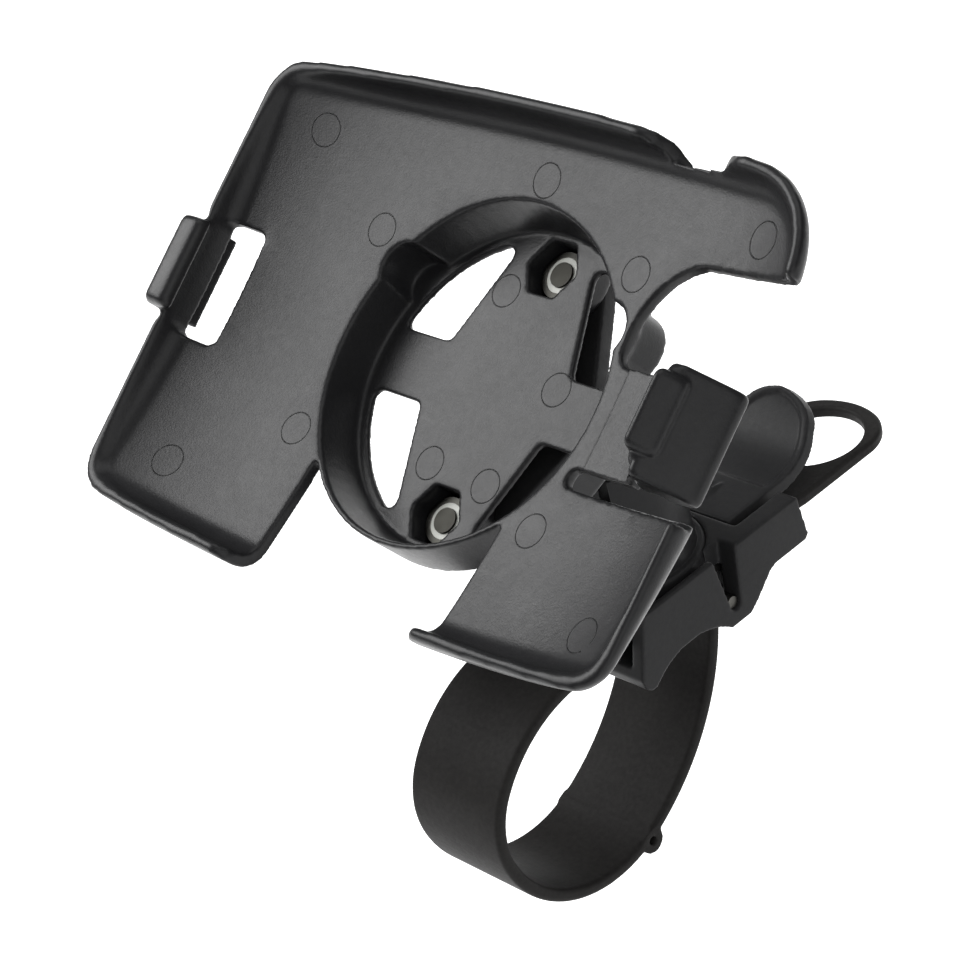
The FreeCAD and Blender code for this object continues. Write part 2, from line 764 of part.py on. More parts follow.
def lock_nut(end, side):
    v = side * dim.bolt_spacing / 2
    low = -dim.nut_top - dim.nut_height
    prism = hexagon("nut_prism_" + end, dim.nut_flats, dim.nut_height, (0, v, low))
    dome = cone("nut_dome_" + end, dim.nut_flats / 2 + 3.0, dim.nut_flats / 2 - 0.2,
                dim.nut_height, (0, v, low))
    form = common("nut_form_" + end, prism, dome)
    tools = [
        cylinder("nut_bore_" + end, dim.bolt_radius + 0.02, 10, (0, v, low - 1)),
        cylinder("nut_seat_" + end, 3.5, 2, (0, v, -dim.nut_top - 1.1)),
    ]
    return finish(cut("lock_nut_" + end, form, tools), "lock_nut_" + end, cradle_frame())


def nut_insert(end, side):
    """The nylon ring that locks the nut."""
    v = side * dim.bolt_spacing / 2
    ring = cylinder("insert_ring_" + end, 3.48, 1.0, (0, v, -dim.nut_top - 1.1))
    bore = cylinder("insert_bore_" + end, dim.bolt_radius + 0.02, 4, (0, v, -dim.nut_top - 2))
    return finish(cut("nut_insert_" + end, ring, [bore]), "nut_insert_" + end, cradle_frame())


def floor_height(u, v):
    """Height of the tray's floor: curling up towards both ends and hollow across."""
    end = dim.tray_half_length.value
    half = end / 2
    fourth = (dim.floor_rise_end.value - 4 * dim.floor_rise_half.value) / (end ** 4 - 4 * half ** 4)
    second = (dim.floor_rise_half.value - fourth * half ** 4) / half ** 2
    return second * u ** 2 + fourth * u ** 4 + v ** 2 / (2 * dim.floor_hollow.value)


def bowl(name, drop):
    """The space above the floor, or above a line that lies lower by a drop.
    A Part::Feature: its doubly curved floor has no primitive that fits it."""
    length = dim.tray_half_length.value + 5
    height = dim.tray_half_height.value + 4
    rows = []
    for i in range(13):
        u = length * (i / 6 - 1)
        stops = [height * (j / 4 - 1) for j in range(9)]
        rows.append([FreeCAD.Vector(u, v, floor_height(u, v) - Size.of(drop).value) for v in stops])
    surface = Part.BSplineSurface()
    surface.interpolate(rows)
    space = doc.addObject("Part::Feature", name)
    space.Shape = surface.toShape().extrude(FreeCAD.Vector(0, 0, 60))
    return space


def barrel(name, inset, low, high):
    """The tray's plan: straight ends and slightly bowed long sides, with round corners."""
    length = dim.tray_half_length - inset
    middle = dim.tray_half_height - inset
    bow = dim.side_bow
    end = middle - (bow - Size(math.sqrt(bow.value ** 2 - length.value ** 2),
                               "sqrt(pow(%s; 2) - pow(%s; 2))" % (bow.text, length.text)))
    plan = outline(name + "_plan", "xy", [
        (-length, -end), (length, -end), (length, end), (-length, end),
    ], {0: bow, 2: bow})
    prism = extrude(name + "_prism", plan, low, high)
    inset = Size.of(inset).value
    corners = round_edges(name + "_corners", prism, dim.tray_corner.value - inset,
                          lambda edge: upright(edge) and not at_latch_corner(edge))
    return round_edges(name, corners, dim.latch_corner.value - inset,
                       lambda edge: upright(edge) and at_latch_corner(edge))


def at_latch_corner(edge):
    """The tray's upper right corner, above the latch, is rounder than the others."""
    return edge.CenterOfMass.x > dim.cut_top_left.value and edge.CenterOfMass.y > dim.cut_high.value


def tray_shell(name):
    """The hollow tray before anything is cut from it."""
    block = common(name + "_block", bowl(name + "_low_bowl", dim.floor_thick),
                   barrel(name + "_outside", 0, -6, dim.rim_height))
    outer = round_edges(name + "_outer", block, dim.bottom_round.value,
                        lambda edge: not upright(edge) and edge.BoundBox.ZMax < dim.rim_height.value - 0.1)
    inner = common(name + "_inner", bowl(name + "_bowl", 0),
                   barrel(name + "_inside", dim.tray_wall, -6, 30))
    cavity = round_edges(name + "_cavity", inner, dim.floor_blend.value,
                         lambda edge: edge.BoundBox.ZMax < 20 and edge.BoundBox.ZLength < 8
                         and not upright(edge) and at_border(edge))
    return cut(name, outer, [cavity])


def at_border(edge):
    """An edge of the cavity's floor where it meets a side or an end."""
    centre = edge.CenterOfMass
    wall = dim.tray_wall.value
    near_side = abs(centre.y) > dim.tray_half_height.value - wall - 6
    near_end = abs(centre.x) > dim.tray_half_length.value - wall - 6
    return near_side or near_end


def dish_slots():
    """Four slots beside the diamond-shaped land, two by mirroring."""
    radius = dim.slot_radius.value
    high_v = math.sqrt(radius ** 2 - dim.slot_high_u.value ** 2)
    low_u = math.sqrt(radius ** 2 - dim.slot_low_v.value ** 2)
    tools = []
    for u_side in (1, -1):
        for v_side in (1, -1):
            name = "dish_slot_%d%d" % (u_side > 0, v_side > 0)
            turn = u_side * v_side
            shape = outline(name + "_plan", "xy", [
                (u_side * dim.slot_low_u, v_side * dim.slot_low_v),
                (u_side * low_u, v_side * dim.slot_low_v),
                (u_side * dim.slot_high_u, v_side * high_v),
            ], {1: turn * dim.slot_radius})
            prism = extrude(name + "_prism", shape, -14, -5)
            tools.append(round_edges(name, prism, 1.6, upright))
    return tools


def nut_pockets():
    tools = []
    for end, side in (("upper", 1), ("lower", -1)):
        v = side * dim.bolt_spacing / 2
        seat = -dim.nut_top - dim.nut_height
        tools.append(hexagon("pocket_" + end, dim.nut_pocket_flats, 10, (0, v, seat)))
        tools.append(cylinder("pocket_hole_" + end, dim.bolt_hole_radius, 10, (0, v, seat - 5)))
    return tools


def dish():
    """The round well with its slotted floor, to the height of the tray's floor."""
    low = -dim.dish_depth - dim.dish_floor_thick
    outer_radius = dim.dish_radius + dim.dish_wall
    wall = cylinder("dish_outside", outer_radius, 6 - low, (0, 0, low))
    bosses = [
        cylinder("dish_boss_" + end, dim.dish_boss_radius, dim.plate_back - dim.plate_thick - dim.dish_depth - 0.3,
                 (0, side * dim.bolt_spacing / 2, -dim.plate_back + dim.plate_thick))
        for end, side in (("upper", 1), ("lower", -1))
    ]
    humps = [
        cylinder("dish_hump_%d" % (side > 0), dim.bump_radius + dim.dish_wall, 6 - low,
                 (side * dim.bump_u, dim.bump_v, low))
        for side in (1, -1)
    ]
    solid = fuse("dish_solid", [wall] + bosses + humps)
    return cut("dish_body", solid, [bowl("dish_bowl", 0)])


def dish_space():
    """What is taken out of tray and dish: the well, its two bumps, slots and pockets."""
    floor = -dim.dish_depth
    tools = [cone("dish_well", dim.dish_floor_radius, dim.dish_radius + 0.4, dim.dish_depth + 3,
                  (0, 0, floor))]
    for side in (1, -1):
        tools.append(cylinder("bump_space_%d" % (side > 0), dim.bump_radius, 15,
                              (side * dim.bump_u, dim.bump_v, floor)))
    return tools + dish_slots() + nut_pockets()


def wall_notch(name, sides, low_v, high_v):
    """A gap in a wall, drawn along the wall: the sides are lists of (u, w, bend to the next)."""
    top = dim.rim_height + 1
    left, right = sides
    corners = [(left[0][0], top)] + [(u, w) for u, w, _ in left]
    bends = {i: bend for i, (_, _, bend) in enumerate(left, start=1) if bend}
    bends.update({i: bend for i, (_, _, bend) in enumerate(right, start=len(corners)) if bend})
    corners += [(u, w) for u, w, _ in right] + [(right[-1][0], top)]
    return extrude(name, outline(name + "_side", "xz", corners, bends), -Size.of(high_v), -Size.of(low_v))


def latch_opening():
    """The cut-out beside the latch, open to the right, with a big round left side."""
    far = 90
    plan = outline("latch_opening_plan", "xy", [
        (far, dim.cut_low), (far, dim.cut_high), (dim.cut_top_left, dim.cut_high),
        (dim.cut_left, dim.cut_low + 3.0), (dim.cut_left + 2.6, dim.cut_low),
    ], {2: dim.cut_round, 3: dim.cut_low_round})
    return extrude("latch_opening", plan, -12, 30)


def side_cuts():
    """What is taken out of the shell alone: gap, notches, latch opening and hook window."""
    far, deep, tall = 90, -12, 30
    rim = dim.rim_height + 0.05
    edge = dim.tray_half_height - dim.tray_wall - 0.6
    run = dim.shoulder_run
    slit = round_edges(
        "latch_slit",
        box("latch_slit_block", (dim.slit_start, dim.slit_low, deep), (far, dim.slit_high, tall)),
        1.7, lambda line: upright(line) and line.CenterOfMass.x < dim.finger_root.value)
    u, v = -dim.hook_window_u, dim.hook_window_v
    wide, high = dim.hook_window_width / 2, dim.hook_window_height / 2
    window = round_edges(
        "hook_window",
        box("hook_window_block", (u - wide, v - high, deep), (u + wide, v + high, tall)),
        1.8, upright)
    top_start, lip = dim.top_wall_end, dim.top_lip_start
    top_notch = wall_notch("top_notch", (
        [(top_start, rim, -4.0), (top_start + 3.2, rim - 3.0, 0), (top_start + 5.0, 6.4, 4.5),
         (top_start + 9.6, 3.9, 0), (top_start + 9.6, deep, 0)],
        [(lip, deep, 0), (lip, 4.0, -10.0), (lip + 8.2, rim, 0)]), dim.top_notch_edge, 60)
    low_notch = wall_notch("low_gap_wall", (
        [(dim.gap_left - run, rim, -run * 1.02), (dim.gap_left, rim - run, 0), (dim.gap_left, deep, 0)],
        [(dim.gap_right, deep, 0), (dim.gap_right, rim - run, -run * 1.02), (dim.gap_right + run, rim, 0)]),
        -60, -edge + 0.01)
    hook_end = dim.hook_width / 2 + dim.hook_notch
    notches = [
        cylinder("hook_notch_" + end, dim.hook_notch, 30,
                 (-dim.tray_half_length - 0.4, v + side * hook_end, dim.rim_height - 4.0))
        for end, side in (("upper", 1), ("lower", -1))
    ]
    return notches + [
        latch_opening(),
        slit,
        window,
        top_notch,
        low_notch,
        box("low_gap", (dim.gap_left, -edge, deep), (dim.gap_right, -20, tall)),
        box("finger_space", (dim.finger_root, dim.slit_high - 0.01, deep), (far, dim.cut_low + 0.01, tall)),
        box("end_wall_gap", (dim.tray_half_length - 6, dim.low_lip_end, 8.2),
            (far, dim.slit_low + 0.01, tall)),
    ]


def fixed_hook():
    """The hooked tab that stands outside the left wall."""
    outside = -dim.tray_half_length - 2.6
    inside = -dim.tray_half_length + 0.4
    low = dim.hook_window_v - dim.hook_width / 2
    top = dim.hook_height
    profile = outline("hook_side", "xz", [
        (outside + 1.4, 3.5),
        (inside + 1.2, 3.5),
        (inside, 7.0),
        (inside, top - dim.hook_thick - 1.2),
        (inside + dim.hook_reach, top - dim.hook_thick + 0.2),
        (inside + dim.hook_reach, top - 0.6),
        (inside + dim.hook_reach - 0.8, top),
        (outside + 1.2, top),
        (outside, top - 1.4),
        (outside, 6.5),
    ])
    block = extrude("hook_block", profile, -(low + dim.hook_width), -low)
    return round_edges("fixed_hook", block, 0.8,
                       lambda edge: edge.BoundBox.YLength < 0.01 and edge.CenterOfMass.z > top.value - 1.5)


def cradle_tray():
    open_shell = cut("open_shell", tray_shell("tray_shell"), side_cuts())
    whole = fuse("tray_whole", [open_shell, dish(), fixed_hook()])
    return finish(cut("cradle_tray", whole, dish_space()), "cradle_tray", cradle_frame())


def latch_pad():
    """The raised thumb pad, with a big round lower end."""
    low, high, top = dim.pad_low, dim.pad_high, dim.pad_top
    turn = dim.pad_low_round
    side = outline("latch_pad_side", "yz", [
        (low, 4.0), (high, 4.0), (high, top - 1.3), (high - 1.3, top), (low + turn, top), (low, top - turn),
    ], {2: 1.31, 4: turn * 1.01})
    block = extrude("latch_pad_block", side, dim.pad_left, dim.pad_left + 7.0)
    return round_edges("latch_pad", block, dim.pad_round.value,
                       lambda edge: edge.BoundBox.XMax < dim.pad_left.value + 0.01
                       and edge.CenterOfMass.z > 4.1)


def latch_hump():
    """The hump behind the groove: it rises to a round crest and falls to a thumb face."""
    low, high = dim.latch_low, dim.latch_high
    profile = outline("latch_hump_side", "xz", [
        (57.6, 10.8), (58.9, 11.2), (59.6, 14.0), (63.3, 17.0), (66.3, 10.0),
        (66.6, 5.6), (65.6, 4.4), (62.5, 3.0), (57.6, 2.5),
    ], {2: 3.4, 3: 9.0})
    return extrude("latch_hump", profile, -high, -low)


def latch_finger():
    """The flexing tongue with its head: hooked root, pad, groove and hump."""
    gap = dim.root_gap
    tongue = common("finger_tongue", tray_shell("finger_shell"), box(
        "finger_plan", (dim.finger_root + gap, dim.slit_high + 0.05, -5),
        (dim.tray_half_length - 6, dim.cut_low, 6.5)))
    root = outline("latch_root_side", "xz", [
        (47.5, 2.6), (51.2, 8.5), (dim.pad_left + 0.4, 11.0), (57.8, 11.0), (62.5, 3.0), (47.5, 0.1),
    ])
    parts = [
        tongue,
        extrude("latch_root", root, -dim.pad_high, -dim.pad_low),
        latch_pad(),
        latch_hump(),
    ]
    return finish(fuse("latch_finger", parts), "latch_finger", cradle_frame())


def build():
    saddle()
    socket_cup()
    anchor_pin()
    release_paddle()
    strap_loop()
    strap_tail()
    ball()
    ball_plate()
    for end, side in (("upper", 1), ("lower", -1)):
        plate_screw(end, side)
        lock_nut(end, side)
        nut_insert(end, side)
    cradle_tray()
    latch_finger()
    doc.recompute()


def check():
    """Stop before anything is written if an object failed or a sub-part isn't a sound solid."""
    for thing in doc.Objects:
        bad = {"Invalid", "Error"} & set(thing.State)
        if bad:
            raise RuntimeError("%s is %s" % (thing.Name, ", ".join(sorted(bad))))
    for thing in sub_parts:
        shape = thing.Shape
        if shape.isNull() or not shape.isValid() or len(shape.Solids) != 1:
            raise RuntimeError("%s isn't one valid solid (%d)" % (thing.Label, len(shape.Solids)))


def export():
    os.makedirs("parts", exist_ok=True)
    for thing in sub_parts:
        thing.Shape.exportStep("parts/%s.step" % thing.Label)
        size = thing.Shape.BoundBox
        print("%-20s %8.1f mm3  %6.1f %6.1f %6.1f" % (
            thing.Label, thing.Shape.Volume, size.XLength, size.YLength, size.ZLength))


build()
check()
export()
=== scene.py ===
import json
import math

import bmesh
import bpy
from mathutils import Matrix, Vector
from mathutils.bvhtree import BVHTree


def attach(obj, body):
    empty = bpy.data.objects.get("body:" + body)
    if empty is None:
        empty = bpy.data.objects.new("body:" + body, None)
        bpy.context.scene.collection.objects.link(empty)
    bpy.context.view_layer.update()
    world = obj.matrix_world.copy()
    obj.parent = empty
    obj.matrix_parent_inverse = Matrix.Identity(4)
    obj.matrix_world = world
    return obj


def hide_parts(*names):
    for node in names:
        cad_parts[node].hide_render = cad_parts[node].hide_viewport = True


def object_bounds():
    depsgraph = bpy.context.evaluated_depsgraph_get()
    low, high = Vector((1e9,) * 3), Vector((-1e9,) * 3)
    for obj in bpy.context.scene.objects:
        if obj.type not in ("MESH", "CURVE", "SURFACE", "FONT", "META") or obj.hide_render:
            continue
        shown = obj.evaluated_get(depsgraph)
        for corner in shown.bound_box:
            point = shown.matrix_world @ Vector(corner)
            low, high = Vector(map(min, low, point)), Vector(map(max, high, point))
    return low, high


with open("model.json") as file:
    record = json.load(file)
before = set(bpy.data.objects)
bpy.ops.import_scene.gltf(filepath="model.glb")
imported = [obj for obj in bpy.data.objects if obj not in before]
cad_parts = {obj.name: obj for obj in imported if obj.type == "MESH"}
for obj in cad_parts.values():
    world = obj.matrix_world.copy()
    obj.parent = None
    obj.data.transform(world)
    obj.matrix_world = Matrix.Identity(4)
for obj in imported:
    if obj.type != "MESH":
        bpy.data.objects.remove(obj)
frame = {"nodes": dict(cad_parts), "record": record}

# Looks of the landscape device cradle: its ball joint, its saddle and its rubber strap.
# Row frame, metres: X along the handlebar, Y towards the strap's pull ring, Z up.
# The tray has a frame of its own: u along its length, v up its face, w towards the device.

cad_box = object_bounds()
MM = 0.001

# ---------------------------------------------------------------- places

TRAY_TILT = math.radians(36.4)
BALL_CENTRE = Vector((0, 4.75, 48.1)) * MM
BALL_TO_DISH = 41.4 * MM
U = Vector((1, 0, 0))
V = Vector((0, math.cos(TRAY_TILT), math.sin(TRAY_TILT)))
W = U.cross(V)
TRAY_ORIGIN = BALL_CENTRE + W * BALL_TO_DISH


def on_tray(u, v, w):
    """A point given in the tray's own frame, in millimetres, as a point of the row frame."""
    return TRAY_ORIGIN + (U * u + V * v + W * w) * MM


# ---------------------------------------------------------------- camera, stage, light

CAMERA_PLACE = Vector((0.37449, -0.28800, 0.33417))
CAMERA_AZIMUTH = 54.662
CAMERA_ELEVATION = 30.913
CAMERA_ROLL = 15.889
SENSOR = 36.0
FOCAL_PIXELS = 3000.0
PHOTO_PIXELS = 972.0
NEAREST_SEEN = 0.01


def make_camera():
    """The photograph's camera: its place, direction, roll and focal length."""
    azimuth = math.radians(CAMERA_AZIMUTH)
    elevation = math.radians(CAMERA_ELEVATION)
    back = Vector((math.sin(azimuth) * math.cos(elevation),
                   -math.cos(azimuth) * math.cos(elevation),
                   math.sin(elevation)))
    turn = back.to_track_quat("Z", "Y").to_matrix().to_4x4()
    roll = Matrix.Rotation(math.radians(-CAMERA_ROLL), 4, "Z")
    lens = bpy.data.cameras.new("photo_camera")
    lens.sensor_width = SENSOR
    lens.lens = SENSOR * FOCAL_PIXELS / PHOTO_PIXELS
    lens.clip_start = NEAREST_SEEN
    camera = bpy.data.objects.new("photo_camera", lens)
    camera.matrix_world = Matrix.Translation(CAMERA_PLACE) @ turn @ roll
    bpy.context.scene.collection.objects.link(camera)
    bpy.context.scene.camera = camera


FLOOR_DROP = 0.05
FLOOR_HALF = 3.0
STAGE_GREY = (0.8, 0.8, 0.8, 1)
STAGE_ROUGHNESS = 0.9
WHITE = (1, 1, 1, 1)
WORLD_FILL = 0.1
WORLD_SEEN = 1.0
LAMPS = (
    # name, direction towards the lamp, distance, size, watts
    ("key", (-0.70, -0.34, 0.63), 0.9, 0.6, 8.8),
    ("top", (0.10, 0.25, 1.00), 0.9, 0.7, 2.5),
    ("front", (0.85, -0.35, 0.45), 1.2, 1.2, 6.3),
    ("back", (-0.45, 0.85, -0.05), 1.2, 1.0, 5.0),
)


def lit_white(name):
    """White to the camera, in reflections and through glass, plain pale grey otherwise."""
    material = bpy.data.materials.new(name)
    material.use_nodes = True
    nodes, links = material.node_tree.nodes, material.node_tree.links
    shader = nodes["Principled BSDF"]
    shader.inputs["Base Color"].default_value = STAGE_GREY
    shader.inputs["Roughness"].default_value = STAGE_ROUGHNESS
    rays = nodes.new("ShaderNodeLightPath")
    seen = nodes.new("ShaderNodeMath")
    seen.operation = "MAXIMUM"
    shown = nodes.new("ShaderNodeMath")
    shown.operation = "MAXIMUM"
    links.new(rays.outputs["Is Camera Ray"], seen.inputs[0])
    links.new(rays.outputs["Is Glossy Ray"], seen.inputs[1])
    links.new(seen.outputs[0], shown.inputs[0])
    links.new(rays.outputs["Is Transmission Ray"], shown.inputs[1])
    shader.inputs["Emission Color"].default_value = WHITE
    links.new(shown.outputs[0], shader.inputs["Emission Strength"])
    return material


def make_stage():
    """A plain pale floor under the part."""
    low, _ = cad_box
    mesh = bpy.data.meshes.new("floor")
    height = low.z - FLOOR_DROP
    corners = [(x * FLOOR_HALF, y * FLOOR_HALF, height)
               for x, y in ((-1, -1), (1, -1), (1, 1), (-1, 1))]
    mesh.from_pydata(corners, [], [(0, 1, 2, 3)])
    mesh.materials.append(lit_white("stage_white"))
    floor = bpy.data.objects.new("floor", mesh)
    bpy.context.scene.collection.objects.link(floor)


def make_world():
    """A white surround for the camera, and a weak even fill for everything else."""
    world = bpy.data.worlds.new("surround")
    world.use_nodes = True
    bpy.context.scene.world = world
    nodes, links = world.node_tree.nodes, world.node_tree.links
    background = nodes["Background"]
    background.inputs["Color"].default_value = WHITE
    rays = nodes.new("ShaderNodeLightPath")
    strength = nodes.new("ShaderNodeMapRange")
    links.new(rays.outputs["Is Camera Ray"], strength.inputs["Value"])
    strength.inputs["To Min"].default_value = WORLD_FILL
    strength.inputs["To Max"].default_value = WORLD_SEEN
    links.new(strength.outputs["Result"], background.inputs["Strength"])


def make_lamps():
    """Large soft lamps that face the tray."""
    for name, direction, distance, size, watts in LAMPS:
        light = bpy.data.lights.new(name, "AREA")
        light.size = size
        light.energy = watts
        lamp = bpy.data.objects.new(name, light)
        away = Vector(direction).normalized()
        lamp.location = TRAY_ORIGIN + away * distance
        lamp.rotation_mode = "QUATERNION"
        lamp.rotation_quaternion = away.to_track_quat("Z", "Y")
        bpy.context.scene.collection.objects.link(lamp)


make_camera()
make_stage()
make_world()
make_lamps()

# ---------------------------------------------------------------- shared effects

# Grain: the detail of its pits, their looser clusters, and the share of each.
PIT_DETAIL = 3.0
PIT_ROUGHNESS = 0.6
CLUSTER_PITCH = 0.25
PIT_SHARE = 0.6
CLUSTER_SHARE = 0.4
# Cloudy tone: the span of the noise that is used, and the finer mottle.
CLOUD_DETAIL = 3.0
CLOUD_SPAN = (0.3, 0.7)
MOTTLE_PITCH = 22.0
# Edges: how the true and the rounded normal agree, from flat to full edge.
EDGE_SAMPLES = 6
EDGE_SPAN = (1.0, 0.86)
# Handling: soft smears, and hairlines drawn long by an uneven scale.
SMEARS_PER_METRE = 70.0
SMEAR_DETAIL = 4.0
SMEAR_ROUGHNESS = 0.6
SMEAR_SPAN = (0.5, 0.75)
SMEAR_SHARE = 0.7
HAIR_TURN = (0.3, 0.9, 0.5)
HAIRS_PER_METRE = (60.0, 1500.0, 900.0)
HAIR_SPAN = (0.66, 0.72)
HAIR_SHARE = 0.35


def effect(name, inputs, outputs):
    """A shader node group with named sockets; gives the group, its input and its output node."""
    group = bpy.data.node_groups.new(name, "ShaderNodeTree")
    for label, value in inputs.items():
        kind = "NodeSocketColor" if isinstance(value, tuple) else "NodeSocketFloat"
        socket = group.interface.new_socket(label, in_out="INPUT", socket_type=kind)
        socket.default_value = value
    for label, kind in outputs.items():
        group.interface.new_socket(label, in_out="OUTPUT", socket_type="NodeSocket" + kind)
    return group, group.nodes.new("NodeGroupInput"), group.nodes.new("NodeGroupOutput")


def feed(tree, value, socket):
    """Sets a socket to a number or colour, or links another socket to it."""
    if isinstance(value, bpy.types.NodeSocket):
        tree.links.new(value, socket)
    else:
        socket.default_value = value


def sum_up(tree, operation, first, second):
    """A math node fed by two sockets or numbers; gives its output."""
    node = tree.nodes.new("ShaderNodeMath")
    node.operation = operation
    feed(tree, first, node.inputs[0])
    feed(tree, second, node.inputs[1])
    return node.outputs[0]


def noise(tree, place, scale, detail=2.0, roughness=0.5):
    """A noise texture with that many features a metre; gives its value."""
    node = tree.nodes.new("ShaderNodeTexNoise")
    feed(tree, place, node.inputs["Vector"])
    feed(tree, scale, node.inputs["Scale"])
    node.inputs["Detail"].default_value = detail
    node.inputs["Roughness"].default_value = roughness
    return node.outputs["Fac"]


def spread(tree, value, low, high, to_low=0.0, to_high=1.0):
    """Stretches a value from low..high to to_low..to_high; gives the clamped result."""
    node = tree.nodes.new("ShaderNodeMapRange")
    feed(tree, value, node.inputs["Value"])
    for label, limit in (("From Min", low), ("From Max", high),
                         ("To Min", to_low), ("To Max", to_high)):
        feed(tree, limit, node.inputs[label])
    return node.outputs["Result"]


def blend_colours(tree, share, first, second):
    """Mixes two colours by a share from 0 to 1."""
    node = tree.nodes.new("ShaderNodeMix")
    node.data_type = "RGBA"
    feed(tree, share, node.inputs["Factor"])
    feed(tree, first, node.inputs["A"])
    feed(tree, second, node.inputs["B"])
    return node.outputs["Result"]


def object_place(tree):
    """The surface point in the piece's own coordinates, in metres."""
    return tree.nodes.new("ShaderNodeTexCoord").outputs["Object"]


def make_grain():
    """Grain of a mould or of rubber: fine pits in looser clusters, as a height from 0 to 1."""
    group, start, end = effect("surface_grain", {"Pits per metre": 2500.0}, {"Height": "Float"})
    place = object_place(group)
    pitch = start.outputs["Pits per metre"]
    pits = noise(group, place, pitch, PIT_DETAIL, PIT_ROUGHNESS)
    clusters = noise(group, place, sum_up(group, "MULTIPLY", pitch, CLUSTER_PITCH))
    height = sum_up(group, "ADD", sum_up(group, "MULTIPLY", pits, PIT_SHARE),
                    sum_up(group, "MULTIPLY", clusters, CLUSTER_SHARE))
    group.links.new(height, end.inputs["Height"])
    return group


def make_cloud():
    """Uneven tone of a moulding: slow clouds with a fine mottle, between two colours."""
    group, start, end = effect("cloudy_tone",
                               {"Dark": (0.02, 0.02, 0.02, 1), "Light": (0.05, 0.05, 0.05, 1),
                                "Clouds per metre": 45.0, "Mottle": 0.35},
                               {"Color": "Color", "Cloud": "Float"})
    place = object_place(group)
    pitch = start.outputs["Clouds per metre"]
    clouds = spread(group, noise(group, place, pitch, CLOUD_DETAIL), *CLOUD_SPAN)
    fine_pitch = sum_up(group, "MULTIPLY", pitch, MOTTLE_PITCH)
    mottle = spread(group, noise(group, place, fine_pitch), *CLOUD_SPAN)
    lively = sum_up(group, "MULTIPLY", mottle, start.outputs["Mottle"])
    calm = sum_up(group, "SUBTRACT", 1.0, start.outputs["Mottle"])
    share = sum_up(group, "ADD", sum_up(group, "MULTIPLY", clouds, calm), lively)
    tone = blend_colours(group, share, start.outputs["Dark"], start.outputs["Light"])
    group.links.new(tone, end.inputs["Color"])
    group.links.new(share, end.inputs["Cloud"])
    return group


def make_edge():
    """Edges as they come out of a mould: a small round, and a mask of where it is."""
    group, start, end = effect("moulded_edge", {"Radius": 0.0003},
                               {"Normal": "Vector", "Edge": "Float"})
    rounded = group.nodes.new("ShaderNodeBevel")
    rounded.samples = EDGE_SAMPLES
    group.links.new(start.outputs["Radius"], rounded.inputs["Radius"])
    flat = group.nodes.new("ShaderNodeNewGeometry")
    along = group.nodes.new("ShaderNodeVectorMath")
    along.operation = "DOT_PRODUCT"
    group.links.new(rounded.outputs["Normal"], along.inputs[0])
    group.links.new(flat.outputs["Normal"], along.inputs[1])
    edge = spread(group, along.outputs["Value"], *EDGE_SPAN)
    group.links.new(rounded.outputs["Normal"], end.inputs["Normal"])
    group.links.new(edge, end.inputs["Edge"])
    return group


def make_handling():
    """Faint handling marks: soft smears with short hairlines across them, from 0 to 1."""
    group, start, end = effect("handling_marks", {"Amount": 1.0}, {"Mark": "Float"})
    place = object_place(group)
    smears = spread(group, noise(group, place, SMEARS_PER_METRE, SMEAR_DETAIL, SMEAR_ROUGHNESS),
                    *SMEAR_SPAN)
    squeezed = group.nodes.new("ShaderNodeMapping")
    squeezed.inputs["Rotation"].default_value = HAIR_TURN
    squeezed.inputs["Scale"].default_value = HAIRS_PER_METRE
    group.links.new(place, squeezed.inputs["Vector"])
    hairs = spread(group, noise(group, squeezed.outputs["Vector"], 1.0, 1.0), *HAIR_SPAN)
    both = sum_up(group, "MAXIMUM", sum_up(group, "MULTIPLY", smears, SMEAR_SHARE),
                  sum_up(group, "MULTIPLY", hairs, HAIR_SHARE))
    group.links.new(sum_up(group, "MULTIPLY", both, start.outputs["Amount"]), end.inputs["Mark"])
    return group


GRAIN = make_grain()
CLOUD = make_cloud()
EDGE = make_edge()
HANDLING = make_handling()

# ---------------------------------------------------------------- finishes

# Mouldings: how far edges are rubbed pale, and what grain, handling and edges do to roughness.
EDGE_RUB = 0.6
GRAIN_SPAN = (0.3, 0.7)
HANDLING_POLISH = 0.06
EDGE_POLISH = 0.08
# Plated steel: its mottle and pits, and the brighter metal along its edges.
PLATING_CLOUDS = 400.0
PLATING_MOTTLE = 0.4
PLATING_PITS = 6000.0
PLATING_SPAN = (0.2, 0.8)
PLATING_DEPTH = 0.00001
BARE_STEEL = (0.3, 0.29, 0.27, 1)


def use(tree, group, **values):
    """Places an effect in a material, with values for its inputs by their words."""
    node = tree.nodes.new("ShaderNodeGroup")
    node.node_tree = group
    for words, value in values.items():
        feed(tree, value, node.inputs[words.replace("_", " ")])
    return node.outputs


def blank_finish(name):
    """A new material with its node tree and its one shader."""
    material = bpy.data.materials.new(name)
    material.use_nodes = True
    return material, material.node_tree, material.node_tree.nodes["Principled BSDF"]


def raise_relief(tree, shader, height, normal, depth):
    """Feeds a height, over an already rounded normal, to the shader's normal."""
    relief = tree.nodes.new("ShaderNodeBump")
    relief.inputs["Distance"].default_value = depth
    feed(tree, height, relief.inputs["Height"])
    feed(tree, normal, relief.inputs["Normal"])
    tree.links.new(relief.outputs["Normal"], shader.inputs["Normal"])


